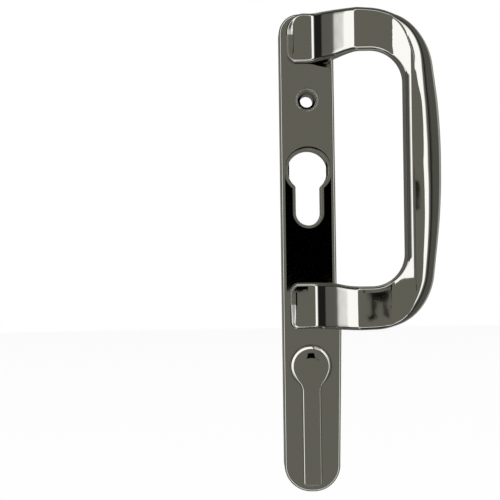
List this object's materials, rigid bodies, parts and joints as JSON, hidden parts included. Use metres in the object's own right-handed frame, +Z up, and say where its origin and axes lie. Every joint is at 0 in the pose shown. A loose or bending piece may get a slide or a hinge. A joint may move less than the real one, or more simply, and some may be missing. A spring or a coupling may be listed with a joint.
{
  "type": "sliding patio door handle",
  "caption": "Back plate with an offset D-shaped pull, a lock cylinder cut-out, a screw hole and a keyhole-shaped lock lever on a square spindle.",
  "frame": {"origin": "on the axis of the lock cylinder cut-out's round part, in the plane of the door face", "axes": "+X towards the grip, +Z up the back plate, +Y into the door"},
  "size_m": [0.0689, 0.071, 0.2158],
  "materials": {
    "chrome_plate": "polished",
    "nylon": "moulded",
    "spring_steel": "satin",
    "zinc_steel": "zinc plated"
  },
  "bodies": {
    "handle": {"handle_casting": "chrome_plate", "lever_bush": "nylon"},
    "lever": {"lock_lever": "chrome_plate", "spring_washer": "spring_steel", "stop_disc": "zinc_steel", "retaining_ring": "spring_steel", "lock_spindle": "zinc_steel"}
  },
  "joints": [
    {"name": "lever_turn", "type": "hinge", "parent": "handle", "child": "lever", "pos_m": [0, -0.011, -0.0883], "axis": [0, -1, 0], "range_deg": [0, 90]}
  ]
}
